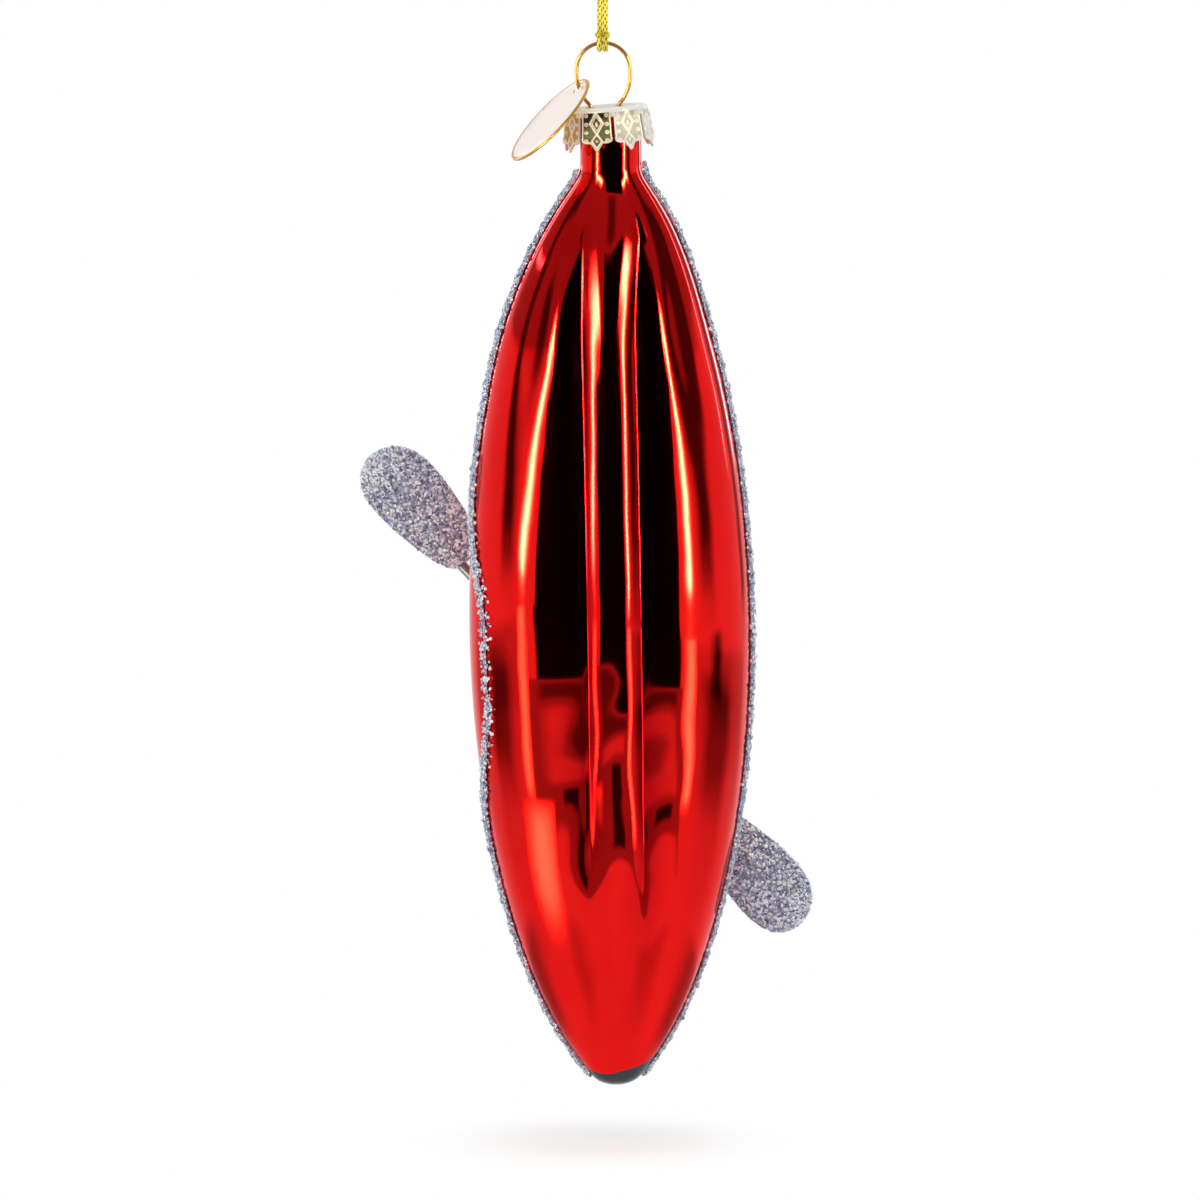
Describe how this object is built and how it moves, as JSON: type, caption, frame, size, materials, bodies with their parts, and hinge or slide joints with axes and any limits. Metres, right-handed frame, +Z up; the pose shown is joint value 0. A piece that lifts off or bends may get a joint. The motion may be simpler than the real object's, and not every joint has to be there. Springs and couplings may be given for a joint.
{
  "type": "glass kayak ornament",
  "caption": "Hanging blown-glass kayak ornament with crown cap, wire loop, hang tag, glued paddle and cord.",
  "frame": {"origin": "the inside of the cord's loop at its top, where a hook or twig carries the ornament", "axes": "+Z up along the cord, +X to the right seen from the hull side, -Y from the deck towards the hull"},
  "size_m": [0.0652, 0.0244, 0.1809],
  "materials": {
    "cord": "metallic gold braid",
    "wire": "polished gold plate",
    "cap": "embossed champagne gold",
    "tag": "polished pale gold",
    "red_glass": "silvered inside, red lacquer outside",
    "paddle": "grey gloss, glittered blades",
    "glue": "clear set glue",
    "glitter": "silver glitter in clear binder"
  },
  "bodies": {
    "cord": {"hanging_cord": "cord", "cord_knot": "cord"},
    "hanger": {"wire_loop": "wire", "crown_cap": "cap"},
    "tag": {"hang_tag": "tag"},
    "kayak": {"glass_body": "red_glass", "paddle": "paddle", "glue_dab_upper": "glue", "glue_dab_lower": "glue", "glitter_trim_left": "glitter", "glitter_trim_right": "glitter"}
  },
  "joints": [
    {"name": "swing_on_cord", "type": "hinge", "parent": "cord", "child": "hanger", "pos_m": [0, 0, -0.024], "axis": [1, 0, 0], "range_deg": [-45, 45]},
    {"name": "tag_swing", "type": "hinge", "parent": "hanger", "child": "tag", "pos_m": [-0.00342, 0, -0.03049], "axis": [-0.7027, -0.2079, 0.6805], "range_deg": [-60, 60]},
    {"name": "cap_pull_off", "type": "slide", "parent": "hanger", "child": "kayak", "axis": [0.0157, 0.0105, -0.9998], "range_m": [0, 0.0145]}
  ]
}
